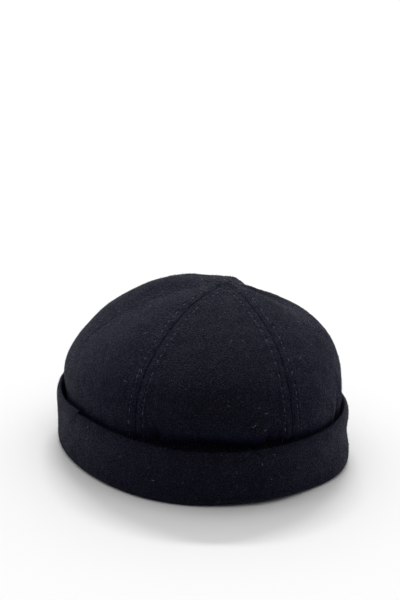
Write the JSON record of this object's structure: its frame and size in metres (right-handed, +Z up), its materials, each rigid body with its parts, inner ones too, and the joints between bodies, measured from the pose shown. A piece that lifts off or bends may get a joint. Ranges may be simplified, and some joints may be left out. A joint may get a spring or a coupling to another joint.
{
  "type": "docker beanie",
  "caption": "Brimless low round cap of felted wool: a gored crown, open and hollow below, with a doubled strip turned up round the outside as a cuff.",
  "frame": {"origin": "on the plane that the cuff's bottom fold rests on, under the middle of the cap", "axes": "+Z up through the crown, the cap's front toward -Y, the wearer's left toward +X; the long way of the oval runs along Y"},
  "size_m": [0.181, 0.2154, 0.1147],
  "materials": {
    "crown_wool": "dark navy felted wool melton, dull, with a short nap",
    "cuff_wool": "dark navy felted wool melton, dull, folded double"
  },
  "bodies": {
    "root": {"gore_front_right": "crown_wool", "gore_right": "crown_wool", "gore_back_right": "crown_wool", "gore_back_left": "crown_wool", "gore_left": "crown_wool", "gore_front_left": "crown_wool", "turned_cuff": "cuff_wool"}
  },
  "joints": []
}
